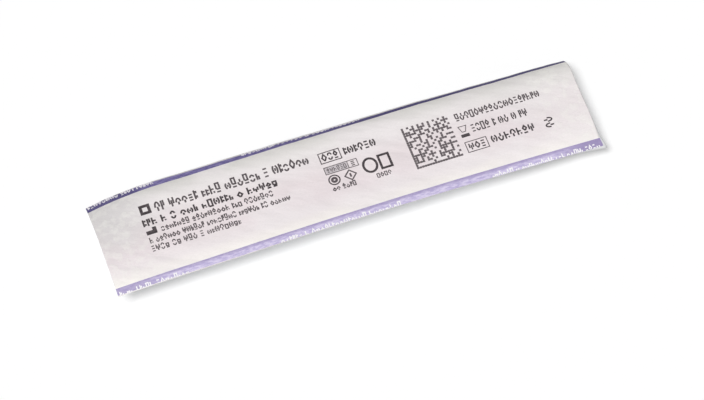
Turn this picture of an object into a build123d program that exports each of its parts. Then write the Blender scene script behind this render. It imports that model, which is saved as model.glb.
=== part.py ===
"""Sealed peel pack of a blunt filter needle: a paper lid sealed to a formed film pocket.

Millimetres. The pack lies paper side up on the flat floor of its pocket. +X runs along the pack to the
peel tab, +Y runs across it, and the origin is under the middle of the pack's bounding box, on the floor.
"""
from build123d import *
import math
import os

# Sheet of the pack, flat
pack_length = 112.0
pack_width = 24.9
paper_thickness = 0.12
film_thickness = 0.15

# Height of the paper over the surface that the pack lies on, at the middle of the pack
lid_height = 8.4

# The paper's middle runs straight across the pack, and each flange bends down outside it
straight_to_lower = 2.5
straight_to_upper = 7.0
lower_bend_left = 20.0
lower_bend_middle = 3.0
lower_bend_right = 28.0
upper_bend_left = 30.0
upper_bend_middle = 38.0
upper_bend_right = 59.0

# At the left end the straight run is shorter, over this last length of the pack
straight_to_upper_left = -1.5
corner_length = 16.0

# The right end of the sheet sags below its middle, and its edge is cut a little off square
right_sag = 1.0
right_sag_length = 60.0
right_edge_skew = 2.0

# Pocket formed in the film, between the end seal and the peel tab
end_seal_length = 11.0
peel_tab_length = 20.0
pocket_mouth_width = 14.0
pocket_draft = 12.0
pocket_corner_radius = 5.5
pocket_floor_radius = 2.0
pocket_shoulder_radius = 0.8

web_thickness = paper_thickness + film_thickness
stations = 17


def blend(left, middle, right, x):
    """A value that runs smoothly from one end of the pack through its middle to the other end."""
    along = 2 * x / pack_length
    return middle + (right - left) / 2 * along + ((right + left) / 2 - middle) * along ** 2


def into_end(distance, length):
    """0 further from an end than this length, rising smoothly to 1 at the end itself."""
    return max(0.0, 1 - distance / length) ** 2


def crosswise(x):
    """The plane across the pack at x, with its own x along +Y and its own y along +Z."""
    skew = math.radians(right_edge_skew) if x == station(stations - 1) else 0.0
    across = math.sin(skew), math.cos(skew), 0
    along = math.cos(skew), -math.sin(skew), 0
    return Plane(origin=(x, 0, 0), x_dir=across, z_dir=along)


def profile(x, depth):
    """The curve across the pack at x that lies at this depth under the paper: bend, straight run, bend."""
    z = lid_height - right_sag * into_end(pack_length / 2 - x, right_sag_length) - depth
    shorter = straight_to_upper_left - straight_to_upper
    upper_start = straight_to_upper + shorter * into_end(pack_length / 2 + x, corner_length)
    lower_turn = blend(lower_bend_left, lower_bend_middle, lower_bend_right, x)
    upper_turn = blend(upper_bend_left, upper_bend_middle, upper_bend_right, x)
    lower_radius = (pack_width / 2 - straight_to_lower) / math.radians(lower_turn) - depth
    upper_radius = (pack_width / 2 - upper_start) / math.radians(upper_turn) - depth
    run = Line((-straight_to_lower, z), (upper_start, z))
    lower = JernArc(run @ 0, (-1, 0), lower_radius, lower_turn)
    upper = JernArc(run @ 1, (1, 0), upper_radius, -upper_turn)
    return lower, run, upper


def web_section(x):
    """The sheet cut across at x: paper and film together."""
    lower_top, run_top, upper_top = profile(x, 0)
    lower_under, run_under, upper_under = profile(x, web_thickness)
    lower_edge = Line(lower_top @ 1, lower_under @ 1)
    upper_edge = Line(upper_top @ 1, upper_under @ 1)
    outline = [lower_top, run_top, upper_top, upper_edge, upper_under, run_under, lower_under, lower_edge]
    return crosswise(x) * make_face(outline)


def underneath_section(x):
    """Everything under the middle of the sheet's thickness at x, down to below the pocket."""
    lower, run, upper = profile(x, web_thickness / 2)
    foot_left = (lower @ 1).X, -lid_height
    foot_right = (upper @ 1).X, -lid_height
    outline = [lower, run, upper, Line(upper @ 1, foot_right), Line(foot_right, foot_left)]
    outline.append(Line(foot_left, lower @ 1))
    return crosswise(x) * make_face(outline)


def station(number):
    """Place of one cross-section along the pack."""
    return pack_length * (number / (stations - 1) - 0.5)


def make_web():
    """The curved sheet, from end to end."""
    return loft([web_section(station(number)) for number in range(stations)])


def make_pocket():
    """The filled pocket under the sheet: drafted walls, rounded ends and a flat floor."""
    length = pack_length - end_seal_length - peel_tab_length
    mouth = RectangleRounded(length, pocket_mouth_width, pocket_corner_radius)
    mouth = Pos((end_seal_length - peel_tab_length) / 2, 0, lid_height) * mouth
    block = extrude(mouth, -lid_height, taper=pocket_draft)
    floor = block.faces().sort_by(Axis.Z)[0]
    block = fillet(floor.edges(), pocket_floor_radius)
    underneath = loft([underneath_section(station(number)) for number in range(stations)])
    return block & underneath


def make_pack():
    """Sheet and pocket in one, with a formed shoulder where the pocket leaves the sheet."""
    web = make_web()
    pocket = make_pocket()
    with BuildPart() as joined:
        add(web)
        add(pocket)
        fillet(joined.edges(Select.NEW), pocket_shoulder_radius)
    return joined.part


pack = make_pack()
box = pack.bounding_box()
pack = Pos(-box.center().X, -box.center().Y, -box.min.Z) * pack

os.makedirs("parts", exist_ok=True)
export_step(pack, "parts/sealed_pack.step")
print("volume", round(pack.volume, 1), "size", box.size)
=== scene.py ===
"""Looks of a sealed peel pack for a blunt filter needle: paper lid, printed edges and marks, formed film.

The sheet is worked out in millimetres from the same few dimensions as the part: u runs along the sheet
from its middle towards the peel tab, v runs across it from its middle towards the darker printed edge.
"""

import math
import random

import bpy
import numpy as np
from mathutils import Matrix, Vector


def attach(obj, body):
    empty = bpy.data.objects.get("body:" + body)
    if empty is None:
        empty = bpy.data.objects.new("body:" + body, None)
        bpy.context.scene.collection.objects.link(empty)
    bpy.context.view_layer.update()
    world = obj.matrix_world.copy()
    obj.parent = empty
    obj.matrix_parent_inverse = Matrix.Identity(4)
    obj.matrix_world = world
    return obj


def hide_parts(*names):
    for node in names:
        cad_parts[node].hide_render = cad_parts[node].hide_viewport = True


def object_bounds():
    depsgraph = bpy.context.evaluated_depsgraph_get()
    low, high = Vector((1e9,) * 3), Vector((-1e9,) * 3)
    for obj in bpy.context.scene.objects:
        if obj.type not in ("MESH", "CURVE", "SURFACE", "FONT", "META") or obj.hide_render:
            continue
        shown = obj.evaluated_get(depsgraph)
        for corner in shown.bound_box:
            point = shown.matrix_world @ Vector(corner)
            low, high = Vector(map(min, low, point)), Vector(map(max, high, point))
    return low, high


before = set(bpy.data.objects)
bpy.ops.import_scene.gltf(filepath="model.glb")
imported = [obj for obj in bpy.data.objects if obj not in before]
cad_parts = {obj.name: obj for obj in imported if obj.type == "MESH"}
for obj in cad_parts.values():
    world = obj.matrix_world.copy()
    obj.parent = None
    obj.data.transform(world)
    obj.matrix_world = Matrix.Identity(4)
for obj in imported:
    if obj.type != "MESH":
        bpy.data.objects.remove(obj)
cad_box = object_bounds()

MM = 0.001

# The sheet's form, as the part has it
SHEET_LENGTH = 112.0
SHEET_WIDTH = 24.9
PAPER = 0.12
FILM = 0.15
LID_HEIGHT = 8.4
STRAIGHT_TO_LOWER = 2.5
STRAIGHT_TO_UPPER = 7.0
LOWER_BEND = (20.0, 3.0, 28.0)
UPPER_BEND = (30.0, 38.0, 59.0)
CORNER_SHIFT = 8.5
CORNER_LENGTH = 16.0
RIGHT_SAG = 1.0
RIGHT_SAG_LENGTH = 60.0
RIGHT_EDGE_SKEW = math.radians(2.0)
SKEWED_LENGTH = 7.0

# Course of the right edge past that form: it stands out towards its lower corner and most at the tip there,
# swells a little under its upper corner, and that corner itself stands back
LOWER_REACH = 0.5
LOWER_REACH_POWER = 1.5
LOWER_TIP_REACH = 0.3
LOWER_TIP_START = 10.0
SWELL_REACH = 0.14
SWELL_AT = 7.2
SWELL_SPREAD = 2.5
UPPER_TIP_BACK = 0.3
UPPER_TIP_POWER = 8

# Rise of the lower edge over that form, more at the sealed end and none at the other, and where along
# the sheet it changes
EDGE_RISE = 0.2
END_RISE = 0.35
END_RISE_SPAN = (-36, -46)
NO_RISE_SPAN = (45, 54)

# Cockling of the paper: its height, the share that the middle keeps, and its waves, each with a strength,
# its turn in radians for each millimetre along and across, and its start
COCKLE_HEIGHT = 0.035
COCKLE_IN_MIDDLE = 0.35
COCKLE_WAVES = (
    (1.0, 0.19, 0.31, 0.6),
    (0.7, 0.43, -0.22, 2.1),
    (0.35, 0.97, 0.55, 0.0),
    (0.25, 1.61, -0.8, 1.3),
)

# Film that stands out past the paper at the lower right corner, how far along the edges that begins, and
# the gap that keeps the faces of film and paper apart
FILM_CORNER = (0.75, -0.75)
CORNER_DRAW = 9.0
FILM_GAP = 0.006

# The formed pocket, as the part has it
END_SEAL = 11.0
PEEL_TAB = 20.0
MOUTH_WIDTH = 14.0
DRAFT = math.radians(12.0)
CORNER_RADIUS = 5.5
FLOOR_RADIUS = 2.0
SHOULDER_RADIUS = 0.8
MOUTH_LENGTH = SHEET_LENGTH - END_SEAL - PEEL_TAB
MOUTH_MIDDLE = (END_SEAL - PEEL_TAB) / 2

# The pocket's rim is tucked into the film: how far out, how far up, and how far up at the shoulder's end
TUCK_OUT = 0.5
TUCK_UP = 0.07
SHOULDER_TUCK = 0.01

# How finely the pieces are cut: points along and across the sheet, steps of the pocket's loop, its rings,
# points across the sheet that its box is taken from, and rounds of the search for the underside
LID_STEPS = (449, 101)
WEB_STEPS = (225, 51)
STRIPE_STEPS = (225, 7)
SIDE_STEPS = 46
END_STEPS = 6
CORNER_STEPS = 12
FOOT_RINGS = 9
WALL_RINGS = 9
SHOULDER_RINGS = 6
BOX_STEPS = 41
UNDERSIDE_ROUNDS = 6

# Printed stripes: their outer and inner sides from the edge, at the left end, the middle and the right end
LOWER_STRIPE = ((0.22, 0.0, 0.0), (1.78, 1.93, 1.9))
UPPER_STRIPE = ((0.16, 0.55, 0.45), (2.07, 1.77, 1.92))

# Ink: its height over the paper, the size that it is cut to, how far inside the sheet's edge it ends, the
# narrowest remainder that is kept, the sharpest mitre, and the shortest normal
STRIPE_LIFT = 0.006
INK_LIFT = 0.012
MARK_CELL = 0.45
INK_MARGIN = 0.01
LEAST_INK = 0.02
LEAST_MITRE = 0.5
LEAST_NORMAL = 1e-6

# Rows of signs: gaps between signs and between groups, how high a low sign is beside a full one, and the seed
SIGN_GAP = 0.22
GROUP_GAP = 0.42
LOW_SIGN = 0.7
SIGN_SEED = 11

# Pale signs in the stripes: left, right, foot past the edge, height, signs in each group, stroke, share low
LOWER_SIGNS = (
    (-55.5, -40.0, -0.75, 1.65, (9, 8), 0.27, 0.4),
    (-19.0, 8.5, -0.75, 1.65, (6, 1, 14, 8), 0.27, 0.4),
    (30.0, 55.3, -0.75, 1.65, (6, 1, 12, 9), 0.27, 0.4),
)
UPPER_SIGNS = (
    (-55.6, -40.5, -1.1, 1.9, (8, 9), 0.29, 0.3),
    (-20.0, 7.5, -0.9, 1.7, (9, 6, 1, 12), 0.24, 0.5),
)

# Rows of grey signs: ink, left, right, foot, height, signs in each group, stroke, share low
SIGN_ROWS = (
    ("fine", -42.05, -7.0, 3.9, 2.3, (2, 5, 4, 6, 1, 6), 0.39, 0.45),
    ("bold", -45.75, -15.2, 1.12, 1.74, (3, 1, 1, 3, 6, 1, 5), 0.4, 0.3),
    ("fine", -42.4, -16.9, -1.0, 1.4, (7, 9, 3, 7), 0.27, 0.6),
    ("fine", -45.6, -13.7, -3.17, 1.44, (1, 6, 6, 8, 6, 2, 5), 0.26, 0.6),
    ("fine", -45.8, -25.7, -5.2, 1.42, (4, 2, 3, 1, 8), 0.26, 0.4),
    ("bold", -3.9, -0.3, 3.3, 1.75, (3,), 0.35, 0.0),
    ("bold", 1.25, 8.45, 3.35, 1.84, (6,), 0.37, 0.0),
    ("fine", -3.9, 0.5, 0.32, 1.0, (6,), 0.17, 0.0),
    ("fine", 1.65, 2.5, 0.27, 1.1, (1,), 0.26, 0.0),
    ("fine", -4.15, 1.05, -4.5, 1.15, (2, 4), 0.26, 0.5),
    ("fine", 6.05, 9.25, -4.5, 1.0, (4,), 0.22, 0.0),
    ("fine", 27.3, 47.1, 3.11, 1.74, (18,), 0.31, 0.0),
    ("bold", 29.8, 42.8, -0.6, 1.9, (4, 1, 2, 1, 2), 0.29, 0.0),
    ("bold", 27.65, 31.35, -4.72, 1.6, (3,), 0.31, 0.0),
    ("bold", 33.0, 42.9, -4.63, 1.83, (7,), 0.37, 0.0),
)
TURNED_ROW = ("bold", 45.4, 47.8, -4.7, 1.9, (2,), 0.34, 0.0)

# Outlines of boxes: ink, left, foot, right, top, stroke
OUTLINES = (
    ("bold", -45.2, 4.35, -43.4, 6.1, 0.68),
    ("fine", -4.45, 2.85, 0.3, 5.45, 0.23),
    ("fine", -4.4, -0.05, 3.15, 1.7, 0.18),
    ("bold", 7.8, -2.6, 10.1, 0.7, 0.54),
    ("fine", 27.05, -5.2, 31.95, -2.6, 0.2),
)

# Filled boxes: ink, left, foot, right, top
BOXES = (
    ("bold", -45.75, -1.05, -43.35, -0.1),
    ("bold", -44.25, -0.1, -43.35, 0.6),
    ("ground", -4.4, -0.05, 0.95, 1.7),
    ("bold", 26.95, -1.3, 28.9, -0.5),
)

# Rings: ink, middle, half width, half height, angle of the last corner, steps up to it, stroke
RINGS = (
    ("bold", (-3.1, -1.8), 1.22, 1.16, 348, 30, 0.3),
    ("fine", (-3.1, -1.8), 0.5, 0.48, 330, 12, 0.55),
    ("bold", (5.5, -0.95), 1.5, 1.72, 348, 30, 0.54),
)

# Other strokes: ink, corners, stroke, and whether it closes
STROKES = (
    ("fine", ((0.95, -0.05), (0.95, 1.7)), 0.15, False),
    ("fine", ((0.65, -3.05), (1.95, -1.8), (0.65, -0.55), (-0.65, -1.8)), 0.3, True),
    ("fine", ((0.65, -2.3), (0.65, -1.35)), 0.42, False),
    ("fine", ((27.0, 1.55), (28.85, 1.55), (28.3, 0.1), (27.5, 0.1)), 0.18, True),
)

# Square field of dots: left, foot, right, top, cells a side, half a dot as a share of a cell, half a join as
# a share of that, the chance that a cell is filled, less this much for each filled neighbour before it, and
# the seed
FIELD_BOX = (14.85, -5.5, 25.75, 5.4)
FIELD_CELLS = 18
FIELD_DOT = 0.42
FIELD_JOIN = 0.6
FIELD_FILL = 0.8
FIELD_THIN = 0.2
FIELD_SEED = 5

# Patterns of the materials: how dense they are to a millimetre along, across and up, then, where they aren't
# the plain ones, the turn in degrees and the scale, detail and roughness of the noise
GRAIN = dict(density=(1.6, 3.0, 3.0), scale=2.0, detail=5.0, roughness=0.6)
CREASES = dict(density=(0.1, 0.34, 0.2), turn=24, roughness=0.45)
SEAL_SPOTS = dict(density=(0.5, 0.5, 0.5))
CLOUDS = dict(density=(0.09, 0.14, 0.1), turn=20, detail=2.0, roughness=0.5)
STREAKS = dict(density=(0.14, 0.42, 0.3), turn=24, detail=4.0)
FIBRES = dict(density=(2.2, 5.0, 5.0), detail=5.0, roughness=0.65)
INK_STREAKS = dict(density=(0.7, 2.4, 1.6), turn=3, detail=4.0, roughness=0.65)
INK_SPECKS = dict(density=(3.5, 5.0, 4.0), roughness=0.6)
FILM_CLOUDS = dict(density=(0.2, 0.2, 0.35))
DRAW_MARKS = dict(density=(1.2, 1.2, 0.12))
FILM_HAZE = dict(density=(0.7, 0.7, 0.7), detail=4.0)

# Depths of the bumps that they make
CREASE_DEPTH = 0.4
INKED_CREASE_DEPTH = 0.2
MOTTLE_DEPTH = 0.03
GRAIN_DEPTH = 0.02
DRAW_DEPTH = 0.08
WAFFLE_DEPTH = 0.03

# Tones of the paper across the pack, from its lower edge to its upper one, as shares of this width. They
# were matched under the light below. Over the paper's own faint pink they hold painted light at the lower
# edge and along a band just below the upper bend, and painted shade towards the upper edge.
PAPER_SPAN = 25.0
PAPER_TONES_AND_PAINTED_LIGHT = (
    (0.07, (0.985, 0.945, 0.9)),
    (0.2, (0.88, 0.82, 0.83)),
    (0.33, (0.845, 0.765, 0.785)),
    (0.5, (0.84, 0.76, 0.775)),
    (0.65, (0.86, 0.8, 0.81)),
    (0.76, (0.87, 0.83, 0.825)),
    (0.86, (0.79, 0.765, 0.745)),
    (0.96, (0.7, 0.68, 0.65)),
)

# Clouds, streaks and fibres on them: the values of a pattern between which it sets in, with its strength and
# tone, or with the shades that it gives there
CLOUD_SPAN = (0.45, 0.66)
CLOUD_STRENGTH = 0.6
CLOUD_TONE = (0.89, 0.84, 0.85)
STREAK_SHADES = ((0.36, 0.965), (0.6, 1.0))
FIBRE_SHADES = ((0.3, 0.93), (0.65, 1.0))

# Mottle of the seal near both ends: where along the pack it sets in and is full, and the same as above
MOTTLE_ENDS = (42, 49)
MOTTLE_SPAN = (0.45, 0.62)
MOTTLE_STRENGTH = 0.3
MOTTLE_TONE = (0.93, 0.92, 0.87)

# Painted shade and tone towards the paper's ends: from and to along the pack, from and to across it,
# strength, tone. The first and third are painted shade on the upper left corner and the upper side towards
# the right end;
# the second lightens the lower side at the right end.
PAINTED_END_SHADE_AND_TONE = (
    ((-38, -53), (-7, 4), 0.75, (0.655, 0.635, 0.635)),
    ((40, 52), (7, 1), 0.5, (0.89, 0.845, 0.845)),
    ((22, 46), (2, 9), 0.55, (0.73, 0.71, 0.69)),
)

# Roughness of each surface over the values of a pattern, and its other gloss
PAPER_ROUGHNESS = ((0.3, 0.62), (0.7, 0.8))
PAPER_SPECULAR = 0.35
INK_ROUGHNESS = ((0.3, 0.5), (0.7, 0.7))
INK_SPECULAR = 0.2
FILM_ROUGHNESS = ((0.3, 0.16), (0.7, 0.3))
FILM_IOR = 1.5
FILM_COAT = 0.25
FILM_COAT_ROUGHNESS = 0.1

# Inks: lighter tone, darker tone, and how much the specks that took less ink show
INKS = {
    "violet_ink": ((0.74, 0.675, 0.875), (0.495, 0.435, 0.685), 0.35),
    "indigo_ink": ((0.24, 0.21, 0.43), (0.12, 0.1, 0.27), 0.1),
    "bare_paper": ((0.95, 0.94, 0.95), (0.88, 0.86, 0.9), 0.2),
    # The signs in the upper stripe take a greyer pale tone than those in the lower one
    "greyer_paper": ((0.9, 0.88, 0.9), (0.7, 0.67, 0.74), 0.1),
    "dark_ink": ((0.085, 0.07, 0.075), (0.04, 0.033, 0.037), 0.08),
    "grey_ink": ((0.125, 0.105, 0.112), (0.075, 0.063, 0.068), 0.15),
    "faint_ink": ((0.17, 0.145, 0.155), (0.1, 0.085, 0.09), 0.12),
    "pale_ink": ((0.66, 0.61, 0.63), (0.5, 0.46, 0.48), 0.2),
}

# Where the streaks run from the darker to the lighter tone, where the specks set in, and their tone
INK_SPAN = (0.35, 0.65)
SPECK_SPAN = (0.58, 0.72)
SPECK_TONE = (0.86, 0.83, 0.85)

# Deeper tones of the stripes, where along the pack they set in, from, to and how strongly, and where the
# violet one's inner side has it
DEEP_VIOLET = (0.3, 0.245, 0.455)
DEEP_INDIGO = (0.055, 0.045, 0.135)
VIOLET_DEPTHS = ((42, 53, 0.9), (-42, -53, 0.6))
INDIGO_DEPTHS = ((-41, -47, 0.65), (-38, 22, 1.0))
VIOLET_INNER = (11.5, 10.5, 0.7)

# The film's tones and where its clouds run from one to the other, the grey of the peel tab and of the waffled
# seal round the pocket's mouth, both painted shade of the floor's shadow seen through the film, and the
# chevron
# that the seal ends in: its tip, how fast it falls back from that, and how soft its edge is
FILM_TONES = ((0.83, 0.855, 0.88), (0.89, 0.9, 0.92))
FILM_SPAN = (0.35, 0.7)
TAB_PAINTED_SHADE = (0.74, 0.745, 0.76)
SEAL_PAINTED_SHADE = (0.7, 0.705, 0.72)
SEAL_START = (0.9, 1.3)
WAFFLE_PITCH = 1.1
CHEVRON_TIP = 47.0
CHEVRON_SLOPE = 0.45
CHEVRON_EDGE = 0.3

# Camera: where it looks on the sheet, from which side, how high and from how far
LOOK_AT = (-1.21, -7.81, 8.4)
CAMERA_AZIMUTH = math.radians(19.88)
CAMERA_ELEVATION = math.radians(61.18)
CAMERA_DISTANCE = 600.0
PIXELS_PER_MM = 4.599
IMAGE_WIDTH = 704
SENSOR = 36.0
CLIP_START = 0.05
CLIP_END = 10.0

# Light: one broad soft key from the front left and a plain light from all round
KEY_FROM = (-0.37, -0.325, 1.0)
KEY_BREADTH = math.radians(22)
KEY_LEVEL = 0.78
FILL = 0.28

# Floor: half its side in metres, how far it lies under the pack, and its looks
FLOOR_REACH = 3.0
FLOOR_DROP = 0.02
FLOOR_TONE = 0.85
FLOOR_GLOW = 0.17
FLOOR_ROUGHNESS = 0.9


def blend(ends, u):
    """A value that runs smoothly from the left end through the middle to the right end."""
    left, middle, right = ends
    along = 2 * u / SHEET_LENGTH
    return middle + (right - left) / 2 * along + ((right + left) / 2 - middle) * along ** 2


def into_end(distance, length):
    """0 further from an end than this length, rising smoothly to 1 at the end itself."""
    return np.clip(1 - distance / length, 0, None) ** 2


def ease(value, start, end):
    """0 before the start and 1 past the end, with a smooth turn at both."""
    share = np.clip((value - start) / (end - start), 0, 1)
    return share * share * (3 - 2 * share)


def relief(u, v):
    """Slight cockling of the paper and rise of its lower edge, in millimetres over the smooth form."""
    free = COCKLE_IN_MIDDLE + (1 - COCKLE_IN_MIDDLE) * (2 * np.abs(v) / SHEET_WIDTH) ** 2
    waves = 0
    for strength, along, across, start in COCKLE_WAVES:
        waves = waves + strength * np.sin(along * u + across * v + start)
    rise = EDGE_RISE + END_RISE * ease(u, *END_RISE_SPAN) - EDGE_RISE * ease(u, *NO_RISE_SPAN)
    to_edge = np.clip(-v - STRAIGHT_TO_LOWER, 0, None) / (SHEET_WIDTH / 2 - STRAIGHT_TO_LOWER)
    return COCKLE_HEIGHT * free * waves + rise * to_edge ** 2


def right_edge_reach(v):
    """How far the right edge stands out past its straight line."""
    reach = LOWER_REACH * np.clip(0.5 - v / SHEET_WIDTH, 0, 1) ** LOWER_REACH_POWER
    reach = reach + LOWER_TIP_REACH * ease(v, -LOWER_TIP_START, -SHEET_WIDTH / 2)
    reach = reach + SWELL_REACH * np.exp(-((v - SWELL_AT) / SWELL_SPREAD) ** 2)
    return reach - UPPER_TIP_BACK * np.clip(2 * v / SHEET_WIDTH, 0, 1) ** UPPER_TIP_POWER


def form(u, v):
    """Place on the sheet's smooth form and the direction that its paper faces."""
    upper_start = STRAIGHT_TO_UPPER - CORNER_SHIFT * into_end(SHEET_LENGTH / 2 + u, CORNER_LENGTH)
    lower_curve = np.radians(blend(LOWER_BEND, u)) / (SHEET_WIDTH / 2 - STRAIGHT_TO_LOWER)
    upper_curve = np.radians(blend(UPPER_BEND, u)) / (SHEET_WIDTH / 2 - upper_start)
    lower_angle = np.clip(-STRAIGHT_TO_LOWER - v, 0, None) * lower_curve
    upper_angle = np.clip(v - upper_start, 0, None) * upper_curve
    y = np.clip(v, -STRAIGHT_TO_LOWER, upper_start)
    y = y + np.sin(upper_angle) / upper_curve - np.sin(lower_angle) / lower_curve
    z = LID_HEIGHT - RIGHT_SAG * into_end(SHEET_LENGTH / 2 - u, RIGHT_SAG_LENGTH)
    z = z - (1 - np.cos(upper_angle)) / upper_curve - (1 - np.cos(lower_angle)) / lower_curve
    at_edge = into_end(SHEET_LENGTH / 2 - u, SKEWED_LENGTH)
    x = u + at_edge * (math.tan(RIGHT_EDGE_SKEW) * y + right_edge_reach(v))
    facing = upper_angle - lower_angle
    return np.stack([x, y, z], -1), np.stack([0 * facing, np.sin(facing), np.cos(facing)], -1)


def frame_shift():
    """What takes the sheet's own coordinates to the frame's: their lower left corners coincide."""
    lengthwise = [-SHEET_LENGTH / 2, 0, SHEET_LENGTH / 2]
    u, v = np.meshgrid(lengthwise, np.linspace(-0.5, 0.5, BOX_STEPS) * SHEET_WIDTH)
    place, facing = form(u, v)
    lowest = place.reshape(-1, 3).min(0)
    return np.array([cad_box[0][0] / MM - lowest[0], cad_box[0][1] / MM - lowest[1], 0])


SHIFT = frame_shift()


def on_sheet(u, v, lift=0.0):
    """Points of the frame, in metres, that lie this far over the paper at (u, v)."""
    u, v = np.broadcast_arrays(np.asarray(u, float), np.asarray(v, float))
    place, facing = form(u, v)
    height = relief(u, v) + lift
    return (place + facing * height[..., None] + SHIFT) * MM


def make_object(name, points, faces, material):
    """A smooth mesh piece that rides on the pack."""
    mesh = bpy.data.meshes.new(name)
    mesh.from_pydata([tuple(p) for p in points], [], [tuple(f) for f in faces])
    mesh.update()
    mesh.polygons.foreach_set("use_smooth", [True] * len(mesh.polygons))
    mesh.materials.append(material)
    piece = bpy.data.objects.new(name, mesh)
    bpy.context.scene.collection.objects.link(piece)
    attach(piece, "root")
    return piece


def grid_faces(rows, columns, first=0, flip=False):
    """Quads between neighbouring rows and columns of points."""
    faces = []
    for i in range(rows - 1):
        for j in range(columns - 1):
            a = first + i * columns + j
            quad = (a, a + 1, a + columns + 1, a + columns)
            faces.append(quad[::-1] if flip else quad)
    return faces


def slab(name, top, bottom, steps, material, corner=(0.0, 0.0)):
    """A closed sheet between two depths, edge to edge, its lower right corner drawn out by corner."""
    u_steps, v_steps = steps
    us = np.linspace(-0.5, 0.5, u_steps) * SHEET_LENGTH
    vs = np.linspace(-0.5, 0.5, v_steps) * SHEET_WIDTH
    u, v = np.meshgrid(us, vs, indexing="ij")
    drawn = into_end(SHEET_LENGTH / 2 - u, CORNER_DRAW) * into_end(SHEET_WIDTH / 2 + v, CORNER_DRAW)
    u, v = u + drawn * corner[0], v + drawn * corner[1]
    layer = u_steps * v_steps
    points = np.concatenate([on_sheet(u, v, top).reshape(-1, 3), on_sheet(u, v, bottom).reshape(-1, 3)])
    faces = grid_faces(u_steps, v_steps, flip=True) + grid_faces(u_steps, v_steps, first=layer)
    rim = list(range(v_steps))
    rim += [i * v_steps + v_steps - 1 for i in range(1, u_steps)]
    rim += [(u_steps - 1) * v_steps + j for j in range(v_steps - 2, -1, -1)]
    rim += [i * v_steps for i in range(u_steps - 2, 0, -1)]
    for here, there in zip(rim, rim[1:] + rim[:1]):
        faces.append((here, there, there + layer, here + layer))
    return make_object(name, points, faces, material)


def under_film(x, y):
    """Height of the sheet's underside over the points (x, y), in the sheet's own millimetres."""
    v = np.array(y, float)
    for _ in range(UNDERSIDE_ROUNDS):
        place, facing = form(x, v)
        v = v + (y - (place[..., 1] - facing[..., 1] * (PAPER + FILM)))
    place, facing = form(x, v)
    return place[..., 2] - facing[..., 2] * (PAPER + FILM)


def rounded_loop(half_length, half_width, radius):
    """A rounded rectangle round the pocket's middle as a closed loop with a fixed number of points."""
    loop = []
    inner_x, inner_y = half_length - radius, half_width - radius
    corners = [(inner_x, inner_y, 0), (-inner_x, inner_y, 1), (-inner_x, -inner_y, 2), (inner_x, -inner_y, 3)]
    for (cx, cy, turn), (nx, ny, _) in zip(corners, corners[1:] + corners[:1]):
        for i in range(CORNER_STEPS):
            angle = math.pi / 2 * (turn + i / CORNER_STEPS)
            loop.append((cx + radius * math.cos(angle), cy + radius * math.sin(angle)))
        angle = math.pi / 2 * (turn + 1)
        steps = SIDE_STEPS if turn % 2 == 0 else END_STEPS
        for i in range(steps):
            share = i / steps
            x = cx + (nx - cx) * share + radius * math.cos(angle)
            loop.append((x, cy + (ny - cy) * share + radius * math.sin(angle)))
    return np.array(loop)


def pocket_ring(inset, height):
    """The pocket's outline, this far inside its mouth, at this height."""
    loop = rounded_loop(MOUTH_LENGTH / 2 - inset, MOUTH_WIDTH / 2 - inset, CORNER_RADIUS - inset)
    return np.column_stack([loop[:, 0] + MOUTH_MIDDLE, loop[:, 1], np.full(len(loop), height)])


def make_pocket(material):
    """The formed pocket: flat floor, rounded foot, drafted wall and a shoulder under the sheet."""
    lean = math.tan(DRAFT)
    rings = []
    foot = (LID_HEIGHT - FLOOR_RADIUS) * lean + FLOOR_RADIUS / math.cos(DRAFT)
    for angle in np.linspace(0, math.pi / 2 - DRAFT, FOOT_RINGS):
        inset = foot - FLOOR_RADIUS * math.sin(angle)
        rings.append(pocket_ring(inset, FLOOR_RADIUS * (1 - math.cos(angle))))
    foot_top = rings[-1][0, 2]
    mouth = pocket_ring(0, 0)
    outward = (mouth - pocket_ring(1, 0))[:, :2]
    roof = under_film(mouth[:, 0], mouth[:, 1])
    wall_top = roof - SHOULDER_RADIUS * (1 - math.sin(DRAFT))
    for share in np.linspace(0, 1, WALL_RINGS + 1)[1:]:
        level = mouth.copy()
        level[:, 2] = foot_top + (wall_top - foot_top) * share
        level[:, :2] -= outward * ((LID_HEIGHT - level[:, 2]) * lean)[:, None]
        rings.append(level)
    wall = rings[-1]
    for angle in np.linspace(DRAFT, math.pi / 2, SHOULDER_RINGS + 1)[1:]:
        level = wall.copy()
        level[:, :2] += outward * (SHOULDER_RADIUS * (math.cos(DRAFT) - math.cos(angle)))
        level[:, 2] = roof - SHOULDER_RADIUS * (1 - math.sin(angle))
        rings.append(level)
    rim = rings[-1].copy()
    rim[:, :2] += outward * TUCK_OUT
    rim[:, 2] = under_film(rim[:, 0], rim[:, 1]) + TUCK_UP
    rings[-1][:, 2] = under_film(rings[-1][:, 0], rings[-1][:, 1]) + SHOULDER_TUCK
    rings.append(rim)
    count = len(rim)
    points = (np.concatenate(rings) + SHIFT) * MM
    faces = [tuple(range(count))[::-1]]
    for i in range(len(rings) - 1):
        for j in range(count):
            a, b = i * count + j, i * count + (j + 1) % count
            faces.append((a, b, b + count, a + count))
    return make_object("film_pocket", points, faces, material)


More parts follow.
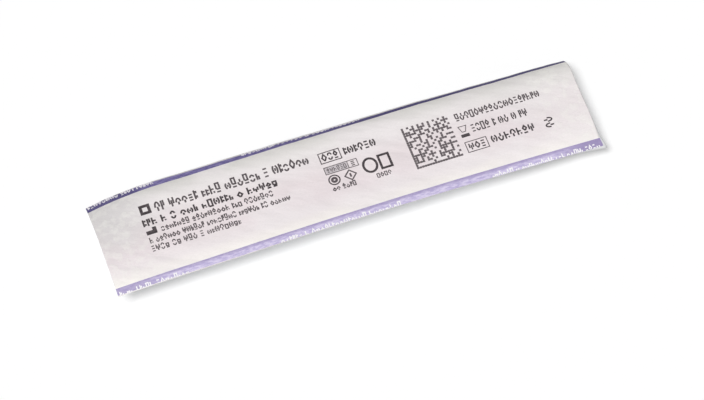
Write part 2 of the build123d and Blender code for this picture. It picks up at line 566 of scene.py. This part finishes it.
class Print:
    """Thin ink shapes collected into one mesh that lies on the paper."""

    def __init__(self, lift=INK_LIFT):
        self.lift = lift
        self.points = []
        self.faces = []

    def patch(self, a, b, c, d):
        """A quad of ink between four places of the sheet, cut so finely that it follows the paper."""
        a, b, c, d = (np.array(p, float) for p in (a, b, c, d))
        along = max(1, math.ceil(max(np.linalg.norm(b - a), np.linalg.norm(c - d)) / MARK_CELL))
        across = max(1, math.ceil(max(np.linalg.norm(d - a), np.linalg.norm(c - b)) / MARK_CELL))
        s, t = np.meshgrid(np.linspace(0, 1, along + 1), np.linspace(0, 1, across + 1), indexing="ij")
        s, t = s[..., None], t[..., None]
        uv = (1 - s) * (1 - t) * a + s * (1 - t) * b + s * t * c + (1 - s) * t * d
        edge = SHEET_WIDTH / 2 - INK_MARGIN
        v = np.clip(uv[..., 1], -edge, edge)
        if np.ptp(v) < LEAST_INK:
            return
        first = len(self.points)
        self.points.extend(on_sheet(uv[..., 0], v, self.lift).reshape(-1, 3))
        area = (b - a)[0] * (d - a)[1] - (b - a)[1] * (d - a)[0]
        self.faces.extend(grid_faces(along + 1, across + 1, first, flip=area > 0))

    def box(self, u0, v0, u1, v1):
        """A filled upright box."""
        self.patch((u0, v0), (u1, v0), (u1, v1), (u0, v1))

    def line(self, path, width, closed=False):
        """A stroke of even width along a path, with mitred corners."""
        path = np.array(path, float)
        ahead = np.roll(path, -1, 0) - path
        behind = path - np.roll(path, 1, 0)
        if not closed:
            ahead[-1], behind[0] = behind[-1], ahead[0]
        ahead = ahead / np.linalg.norm(ahead, axis=1)[:, None]
        behind = behind / np.linalg.norm(behind, axis=1)[:, None]
        normal = np.stack([-ahead[:, 1] - behind[:, 1], ahead[:, 0] + behind[:, 0]], 1)
        normal = normal / np.maximum(np.linalg.norm(normal, axis=1)[:, None], LEAST_NORMAL)
        mitre = (normal * np.stack([-ahead[:, 1], ahead[:, 0]], 1)).sum(1)
        mitre = np.maximum(mitre, LEAST_MITRE)[:, None]
        left, right = path + normal * width / 2 / mitre, path - normal * width / 2 / mitre
        ends = list(range(len(path))) + ([0] if closed else [])
        for i, j in zip(ends, ends[1:]):
            self.patch(right[i], right[j], left[j], left[i])

    def outline(self, u0, v0, u1, v1, width):
        """The outline of an upright box."""
        self.line([(u0, v0), (u1, v0), (u1, v1), (u0, v1)], width, closed=True)

    def piece(self, name, material, slot):
        """The collected ink as one piece."""
        return make_object(name, self.points, self.faces, material)


def arc(centre, radius_u, radius_v, start, end, steps=10):
    """Points on an elliptic arc, with its angles in degrees."""
    angles = np.radians(np.linspace(start, end, steps + 1))
    return [(centre[0] + radius_u * math.cos(a), centre[1] + radius_v * math.sin(a)) for a in angles]


# Simple signs that fill the printed rows. Each is a width and a few strokes in a box one high, and none of
# them is a letter or a figure.
SIGNS = [
    (0.58, [arc((0.29, 0.5), 0.26, 0.47, 20, 160), arc((0.29, 0.5), 0.26, 0.47, 200, 340)]),
    (0.62, [arc((0.31, 0.5), 0.28, 0.47, -65, 65), arc((0.31, 0.5), 0.28, 0.47, 115, 245),
            [(0.31, 0.34), (0.31, 0.66)]]),
    (0.52, [[(0.04, 0.02), (0.48, 0.02), (0.48, 0.98), (0.04, 0.98), (0.04, 0.02)]]),
    (0.6, [[(0.3, 0.02), (0.58, 0.5), (0.3, 0.98), (0.02, 0.5), (0.3, 0.02)]]),
    (0.34, [[(0.05, 0), (0.05, 1)], [(0.29, 0), (0.29, 0.6)]]),
    (0.34, [[(0.05, 0), (0.05, 1)], [(0.29, 0.4), (0.29, 1)]]),
    (0.58, [[(0.05, 0.3), (0.05, 1)], [(0.29, 0), (0.29, 0.7)], [(0.53, 0.3), (0.53, 1)]]),
    (0.3, [[(0.05, 0), (0.05, 1)], [(0.27, 0.12), (0.27, 0.38)], [(0.27, 0.62), (0.27, 0.88)]]),
    (0.52, [[(0.06, 0.36), (0.46, 0.36), (0.46, 1), (0.06, 1), (0.06, 0.36)], [(0.02, 0.05), (0.5, 0.05)]]),
    (0.52, [[(0.03, 0.08), (0.49, 0.08)], [(0.03, 0.5), (0.49, 0.5)], [(0.03, 0.92), (0.49, 0.92)]]),
    (0.52, [[(0.26, 0.34), (0.48, 0.67), (0.26, 1), (0.04, 0.67), (0.26, 0.34)],
            [(0.03, 0.05), (0.49, 0.05)]]),
    (0.58, [arc((0.29, 0.42), 0.26, 0.55, 0, 180), [(0.29, 0), (0.29, 0.45)]]),
    (0.58, [arc((0.29, 0.58), 0.26, 0.55, 180, 360), [(0.29, 0.55), (0.29, 1)]]),
    (0.5, [[(0.05, 0), (0.05, 1)], [(0.05, 0.5), (0.46, 0.5)], [(0.42, 0.05), (0.42, 0.25)]]),
]
chance = random.Random(SIGN_SEED)
field_chance = random.Random(FIELD_SEED)


def sign_row(ink, u0, u1, base, height, groups, width, low, turned=False):
    """A row of signs in groups, drawn by chance, with this share of them low."""
    chosen = []
    for group in groups:
        chosen += [chance.choice(SIGNS) for _ in range(group)] + [None]
    chosen.pop()
    total = sum(GROUP_GAP if sign is None else sign[0] + SIGN_GAP for sign in chosen) - SIGN_GAP
    stretch = (u1 - u0) / total
    at = 0.0
    for sign in chosen:
        if sign is None:
            at += GROUP_GAP
            continue
        tall = height * (LOW_SIGN if chance.random() < low else 1.0)
        for stroke in sign[1]:
            place = [(u0 + (at + x) * stretch, base + y * tall) for x, y in stroke]
            if turned:
                middle = (u0 + u1) / 2, base + height / 2
                place = [(middle[0] - (v - middle[1]), middle[1] + (u - middle[0])) for u, v in place]
            ink.line(place, width)
        at += sign[0] + SIGN_GAP


def field_cells(cells):
    """Filled cells of the square field: all at the left and below, every other opposite, else by chance."""
    filled = set()
    for row in range(cells):
        for column in range(cells):
            near = ((column - 1, row) in filled) + ((column, row - 1) in filled)
            if row == 0 or column == 0:
                filled.add((column, row))
            elif column == cells - 1 or row == cells - 1:
                if (column + row) % 2 == (cells - 1) % 2:
                    filled.add((column, row))
            elif field_chance.random() < FIELD_FILL - FIELD_THIN * near:
                filled.add((column, row))
    return filled


def code_field(ink, u0, v0, u1, v1, cells):
    """A square field of dots, each joined to its neighbours."""
    step_u, step_v = (u1 - u0) / cells, (v1 - v0) / cells
    half_u, half_v = FIELD_DOT * step_u, FIELD_DOT * step_v
    filled = field_cells(cells)
    for column, row in sorted(filled):
        u, v = u0 + (column + 0.5) * step_u, v0 + (row + 0.5) * step_v
        ink.box(u - half_u, v - half_v, u + half_u, v + half_v)
        if (column + 1, row) in filled:
            ink.box(u + half_u, v - FIELD_JOIN * half_v, u + step_u - half_u, v + FIELD_JOIN * half_v)
        if (column, row + 1) in filled:
            ink.box(u - FIELD_JOIN * half_u, v + half_v, u + FIELD_JOIN * half_u, v + step_v - half_v)


def make_print():
    """All grey print of the lid, in its place."""
    inks = {"bold": Print(), "fine": Print(), "field": Print(), "ground": Print(STRIPE_LIFT)}
    for ink, *row in SIGN_ROWS:
        sign_row(inks[ink], *row)
    sign_row(inks[TURNED_ROW[0]], *TURNED_ROW[1:], turned=True)
    for ink, *sides in OUTLINES:
        inks[ink].outline(*sides)
    for ink, *sides in BOXES:
        inks[ink].box(*sides)
    for ink, middle, half_width, half_height, last, steps, width in RINGS:
        inks[ink].line(arc(middle, half_width, half_height, 0, last, steps), width, closed=True)
    for ink, *stroke in STROKES:
        inks[ink].line(*stroke)
    code_field(inks["field"], *FIELD_BOX, FIELD_CELLS)
    inks["bold"].piece("print_bold", ink_material("dark_ink"), "grey_print")
    inks["fine"].piece("print_fine", ink_material("grey_ink"), "grey_print")
    inks["field"].piece("print_field", ink_material("faint_ink"), "grey_print")
    inks["ground"].piece("print_ground", ink_material("pale_ink"), "grey_print")


def make_stripe(name, side, reach, material):
    """A printed stripe along the long edge on this side: -1 for the lower edge, 1 for the upper one.

    Its outer and its inner side keep the distances in reach from that edge.
    """
    u_steps, v_steps = STRIPE_STEPS
    us = np.linspace(-0.5, 0.5, u_steps) * SHEET_LENGTH
    u, share = np.meshgrid(us, np.linspace(0, 1, v_steps), indexing="ij")
    v = side * (SHEET_WIDTH / 2 - blend(reach[0], u) * (1 - share) - blend(reach[1], u) * share)
    points = on_sheet(u, v, STRIPE_LIFT).reshape(-1, 3)
    return make_object(name, points, grid_faces(u_steps, v_steps, flip=side < 0), material)


def make_edge_signs(name, side, rows, material):
    """Pale signs in the stripe on this side, cut through by the sheet's edge."""
    ink = Print()
    for left, right, foot, *rest in rows:
        sign_row(ink, left, right, side * SHEET_WIDTH / 2 + foot, *rest)
    ink.piece(name, material, "lid_paper")


class Nodes:
    """Short hands for one material's node tree, worked out in millimetres of the frame."""

    def __init__(self, name):
        self.material = bpy.data.materials.new(name)
        self.material.use_nodes = True
        self.tree = self.material.node_tree
        self.shader = self.tree.nodes["Principled BSDF"]
        self.place = self.add("ShaderNodeTexCoord").outputs["Object"]

    def add(self, kind, **values):
        """A new node with these settings."""
        node = self.tree.nodes.new(kind)
        for key, value in values.items():
            setattr(node, key, value)
        return node

    def feed(self, socket, value):
        """Links a socket to this input, or sets the input to a number or a colour."""
        if hasattr(value, "is_linked"):
            self.tree.links.new(value, socket)
        elif isinstance(value, tuple):
            socket.default_value = (*value, 1)
        else:
            socket.default_value = value

    def pattern(self, density, turn=0.0, scale=1.0, detail=3.0, roughness=0.55):
        """Noise from 0 to 1, this dense to a millimetre after a turn about Z in degrees."""
        turned = self.add("ShaderNodeVectorRotate", rotation_type="Z_AXIS")
        turned.inputs["Angle"].default_value = math.radians(turn)
        self.feed(turned.inputs["Vector"], self.place)
        scaled = self.add("ShaderNodeMapping")
        scaled.inputs["Scale"].default_value = [value / MM for value in density]
        self.feed(scaled.inputs["Vector"], turned.outputs[0])
        noise = self.add("ShaderNodeTexNoise")
        self.feed(noise.inputs["Vector"], scaled.outputs[0])
        noise.inputs["Scale"].default_value = scale
        noise.inputs["Detail"].default_value = detail
        noise.inputs["Roughness"].default_value = roughness
        return noise.outputs["Fac"]

    def ramp(self, factor, stops):
        """A ramp of colours, or of greys where a stop's second value is one number."""
        node = self.add("ShaderNodeValToRGB")
        self.feed(node.inputs["Fac"], factor)
        elements = node.color_ramp.elements
        while len(elements) < len(stops):
            elements.new(0.5)
        for element, (position, value) in zip(elements, stops):
            colour = value if isinstance(value, tuple) else (value, value, value)
            element.position = position
            element.color = (*colour, 1)
        return node.outputs["Color"]

    def mix(self, factor, a, b, mode="MIX"):
        """Colour a where the factor is 0, running to colour b where it is 1."""
        node = self.add("ShaderNodeMix", data_type="RGBA", blend_type=mode)
        for name, value in (("Factor", factor), ("A", a), ("B", b)):
            self.feed(node.inputs[name], value)
        return node.outputs["Result"]

    def math(self, operation, *values):
        """One sum on numbers or sockets."""
        node = self.add("ShaderNodeMath", operation=operation)
        for socket, value in zip(node.inputs, values):
            self.feed(socket, value)
        return node.outputs[0]

    def spread(self, value, low, high):
        """0 below the low bound and 1 above the high one."""
        node = self.add("ShaderNodeMapRange", interpolation_type="SMOOTHSTEP")
        self.feed(node.inputs["Value"], value)
        node.inputs["From Min"].default_value = low
        node.inputs["From Max"].default_value = high
        return node.outputs["Result"]

    def past(self, coordinate, start, full):
        """0 before the start and 1 from the full mark on, both in millimetres."""
        return self.spread(coordinate, start * MM, full * MM)

    def along(self):
        """The place's coordinates along and across the pack in metres, one socket each."""
        node = self.add("ShaderNodeSeparateXYZ")
        self.feed(node.inputs[0], self.place)
        return node.outputs[0], node.outputs[1]

    def past_box(self, x, y, half_length, half_width, radius):
        """Distance outside a box with rounded corners that lies round the origin."""
        squares = []
        for value, half in ((x, half_length), (y, half_width)):
            past = self.math("SUBTRACT", self.math("ABSOLUTE", value), half - radius)
            past = self.math("MAXIMUM", past, 0.0)
            squares.append(self.math("MULTIPLY", past, past))
        return self.math("SUBTRACT", self.math("SQRT", self.math("ADD", *squares)), radius)

    def bump(self, *layers):
        """Bumps over each other, each a height socket and its depth in millimetres."""
        before = None
        for height, depth in layers:
            node = self.add("ShaderNodeBump")
            node.inputs["Distance"].default_value = depth * MM
            self.feed(node.inputs["Height"], height)
            if before is not None:
                self.feed(node.inputs["Normal"], before)
            before = node.outputs["Normal"]
        self.feed(self.shader.inputs["Normal"], before)

    def set(self, **values):
        """Sets or links the shader's own sockets, and gives the finished material."""
        for key, value in values.items():
            self.feed(self.shader.inputs[key.replace("_", " ")], value)
        return self.material


def paper_material():
    """Matt medical paper: fibres and streaks over a tone with a faint pink cast in the middle.

    Painted light makes it lighter at the lower edge and along a band below the upper bend, and painted shade
    makes it greyer at the upper edge, most at the upper left corner and towards the right end; it is mottled
    near both ends.
    """
    n = Nodes("medical_paper")
    x, y = n.along()
    grain, creases = n.pattern(**GRAIN), n.pattern(**CREASES)
    near_ends = n.past(n.math("ABSOLUTE", x), *MOTTLE_ENDS)
    mottle = n.math("MULTIPLY", n.spread(n.pattern(**SEAL_SPOTS), *MOTTLE_SPAN), near_ends)
    # The ramp gives the paper's own tone together with painted light and painted shade across the pack
    colour = n.ramp(n.math("MULTIPLY_ADD", y, 1 / (PAPER_SPAN * MM), 0.5), PAPER_TONES_AND_PAINTED_LIGHT)
    clouds = n.spread(n.pattern(**CLOUDS), *CLOUD_SPAN)
    colour = n.mix(n.math("MULTIPLY", clouds, CLOUD_STRENGTH), colour, CLOUD_TONE)
    colour = n.mix(1.0, colour, n.ramp(n.pattern(**STREAKS), STREAK_SHADES), "MULTIPLY")
    # Painted shade at the upper left corner and towards the upper right end, and a lighter lower right end
    for lengthwise, crosswise, strength, tone in PAINTED_END_SHADE_AND_TONE:
        share = n.math("MULTIPLY", n.past(x, *lengthwise), n.past(y, *crosswise))
        colour = n.mix(n.math("MULTIPLY", share, strength), colour, tone)
    colour = n.mix(n.math("MULTIPLY", mottle, MOTTLE_STRENGTH), colour, MOTTLE_TONE)
    colour = n.mix(1.0, colour, n.ramp(n.pattern(**FIBRES), FIBRE_SHADES), "MULTIPLY")
    n.bump((creases, CREASE_DEPTH), (mottle, MOTTLE_DEPTH), (grain, GRAIN_DEPTH))
    roughness = n.ramp(grain, PAPER_ROUGHNESS)
    return n.set(Base_Color=colour, Roughness=roughness, Specular_IOR_Level=PAPER_SPECULAR)


def ink_material(name, deep=None, depths=(), inner=None):
    """Ink on the paper: mottled tone, with specks that took less ink.

    It may run to a deeper tone: along the pack as depths says, and across it as inner says, each as where
    that starts, where it is full and how strong it is there.
    """
    light, dark, missing = INKS[name]
    n = Nodes(name)
    x, y = n.along()
    grain, creases = n.pattern(**GRAIN), n.pattern(**CREASES)
    tone = n.mix(n.spread(n.pattern(**INK_STREAKS), *INK_SPAN), dark, light)
    spans = [(x, *depth) for depth in depths]
    if inner is not None:
        spans.append((n.math("ABSOLUTE", y), *inner))
    share = 0.0
    for value, start, full, strength in spans:
        share = n.math("MAXIMUM", share, n.math("MULTIPLY", n.past(value, start, full), strength))
    if deep is not None:
        tone = n.mix(share, tone, deep)
    specks = n.spread(n.pattern(**INK_SPECKS), *SPECK_SPAN)
    tone = n.mix(n.math("MULTIPLY", specks, missing), tone, SPECK_TONE)
    n.bump((creases, INKED_CREASE_DEPTH), (grain, GRAIN_DEPTH))
    roughness = n.ramp(grain, INK_ROUGHNESS)
    return n.set(Base_Color=tone, Roughness=roughness, Specular_IOR_Level=INK_SPECULAR)


def film_material():
    """Formed film: milky and glossy, with faint draw marks on the walls and a waffled seal round the pocket.

    The seal follows the pocket's rounded mouth and ends in a chevron, past which the peel tab is plain. The
    grey of seal and tab is painted shade.
    """
    n = Nodes("formed_film")
    colour = n.mix(n.spread(n.pattern(**FILM_CLOUDS), *FILM_SPAN), *FILM_TONES)
    x, y = n.along()
    from_middle = n.math("SUBTRACT", x, (MOUTH_MIDDLE + SHIFT[0]) * MM)
    across = n.math("SUBTRACT", y, SHIFT[1] * MM)
    half_length, half_width = MOUTH_LENGTH / 2 * MM, MOUTH_WIDTH / 2 * MM
    outside = n.past_box(from_middle, across, half_length, half_width, CORNER_RADIUS * MM)
    slope = n.math("MULTIPLY", n.math("ABSOLUTE", across), CHEVRON_SLOPE)
    tab = n.past(n.math("ADD", x, slope), CHEVRON_TIP, CHEVRON_TIP + CHEVRON_EDGE)
    seal = n.math("MULTIPLY", n.past(outside, *SEAL_START), n.math("SUBTRACT", 1.0, tab))
    # Painted shade: tab and seal are greyed as if the floor's shadow showed through the film
    colour = n.mix(tab, colour, TAB_PAINTED_SHADE)
    colour = n.mix(seal, colour, SEAL_PAINTED_SHADE)
    turn = 2 * math.pi / (WAFFLE_PITCH * MM)
    waves = [n.math("SINE", n.math("MULTIPLY", value, turn)) for value in (x, y)]
    waffle = n.math("MULTIPLY", n.math("MULTIPLY", *waves), seal)
    n.bump((n.pattern(**DRAW_MARKS), DRAW_DEPTH), (waffle, WAFFLE_DEPTH))
    roughness = n.ramp(n.pattern(**FILM_HAZE), FILM_ROUGHNESS)
    return n.set(Base_Color=colour, Roughness=roughness, IOR=FILM_IOR, Coat_Weight=FILM_COAT,
                 Coat_Roughness=FILM_COAT_ROUGHNESS)


def to_camera(tree):
    """1 for what the camera sees directly, in a mirror or through glass, else 0."""
    path = tree.nodes.new("ShaderNodeLightPath")
    total = path.outputs["Is Camera Ray"]
    for name in ("Is Glossy Ray", "Is Transmission Ray"):
        node = tree.nodes.new("ShaderNodeMath")
        node.operation = "MAXIMUM"
        tree.links.new(total, node.inputs[0])
        tree.links.new(path.outputs[name], node.inputs[1])
        total = node.outputs[0]
    return total


def make_world():
    """White for the camera, and a plain soft light from all round for the surfaces."""
    world = bpy.data.worlds.new("studio")
    bpy.context.scene.world = world
    world.use_nodes = True
    tree = world.node_tree
    background = tree.nodes["Background"]
    background.inputs["Color"].default_value = (1, 1, 1, 1)
    level = tree.nodes.new("ShaderNodeMapRange")
    tree.links.new(to_camera(tree), level.inputs["Value"])
    level.inputs["To Min"].default_value = FILL
    level.inputs["To Max"].default_value = 1.0
    tree.links.new(level.outputs["Result"], background.inputs["Strength"])


def make_floor():
    """A white floor that keeps the pack's soft shadow."""
    corners = [(x * FLOOR_REACH, y * FLOOR_REACH, 0) for x, y in ((-1, -1), (1, -1), (1, 1), (-1, 1))]
    mesh = bpy.data.meshes.new("floor")
    mesh.from_pydata(corners, [], [(0, 1, 2, 3)])
    floor = bpy.data.objects.new("floor", mesh)
    bpy.context.scene.collection.objects.link(floor)
    floor.location.z = -FLOOR_DROP * MM
    material = bpy.data.materials.new("floor")
    material.use_nodes = True
    tree = material.node_tree
    shader = tree.nodes["Principled BSDF"]
    shader.inputs["Base Color"].default_value = (FLOOR_TONE, FLOOR_TONE, FLOOR_TONE, 1)
    shader.inputs["Roughness"].default_value = FLOOR_ROUGHNESS
    shader.inputs["Specular IOR Level"].default_value = 0.0
    shader.inputs["Emission Color"].default_value = (1, 1, 1, 1)
    glow = tree.nodes.new("ShaderNodeMath")
    glow.operation = "MULTIPLY"
    glow.inputs[1].default_value = FLOOR_GLOW
    tree.links.new(to_camera(tree), glow.inputs[0])
    tree.links.new(glow.outputs[0], shader.inputs["Emission Strength"])
    mesh.materials.append(material)


def aim(thing, place, target):
    """Puts a lamp or the camera at a place, looking at a target, with no roll."""
    thing.location = place
    thing.rotation_mode = "QUATERNION"
    thing.rotation_quaternion = (place - target).to_track_quat("Z", "Y")


def make_key():
    """One broad soft lamp from the front left, high up."""
    lamp = bpy.data.lights.new("key", "SUN")
    lamp.angle = KEY_BREADTH
    lamp.energy = KEY_LEVEL * math.pi
    key = bpy.data.objects.new("key", lamp)
    bpy.context.scene.collection.objects.link(key)
    aim(key, Vector(KEY_FROM), Vector((0, 0, 0)))


def make_camera():
    """A long lens from above the pack's front left."""
    data = bpy.data.cameras.new("camera")
    camera = bpy.data.objects.new("camera", data)
    bpy.context.scene.collection.objects.link(camera)
    bpy.context.scene.camera = camera
    data.sensor_width = SENSOR
    data.lens = SENSOR * PIXELS_PER_MM * CAMERA_DISTANCE / IMAGE_WIDTH
    data.clip_start, data.clip_end = CLIP_START, CLIP_END
    target = Vector((np.array(LOOK_AT) + SHIFT) * MM)
    level = math.cos(CAMERA_ELEVATION)
    x, y = -math.sin(CAMERA_AZIMUTH) * level, -math.cos(CAMERA_AZIMUTH) * level
    back = Vector((x, y, math.sin(CAMERA_ELEVATION)))
    aim(camera, target + back * CAMERA_DISTANCE * MM, target)


bpy.context.scene.view_settings.view_transform = "Standard"
make_camera()
make_world()
make_floor()
make_key()

paper = paper_material()
film = film_material()
lid = slab("lid_paper", 0.0, -PAPER, LID_STEPS, paper)
web = slab("film_web", -PAPER - FILM_GAP, -PAPER - FILM, WEB_STEPS, film, FILM_CORNER)
pocket = make_pocket(film)
for piece in (lid, web, pocket):
    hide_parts("sealed_pack")

violet = ink_material("violet_ink", DEEP_VIOLET, VIOLET_DEPTHS, VIOLET_INNER)
indigo = ink_material("indigo_ink", DEEP_INDIGO, INDIGO_DEPTHS)
make_stripe("lower_stripe", -1, LOWER_STRIPE, violet)
make_stripe("upper_stripe", 1, UPPER_STRIPE, indigo)
make_edge_signs("lower_signs", -1, LOWER_SIGNS, ink_material("bare_paper"))
make_edge_signs("upper_signs", 1, UPPER_SIGNS, ink_material("greyer_paper"))
make_print()
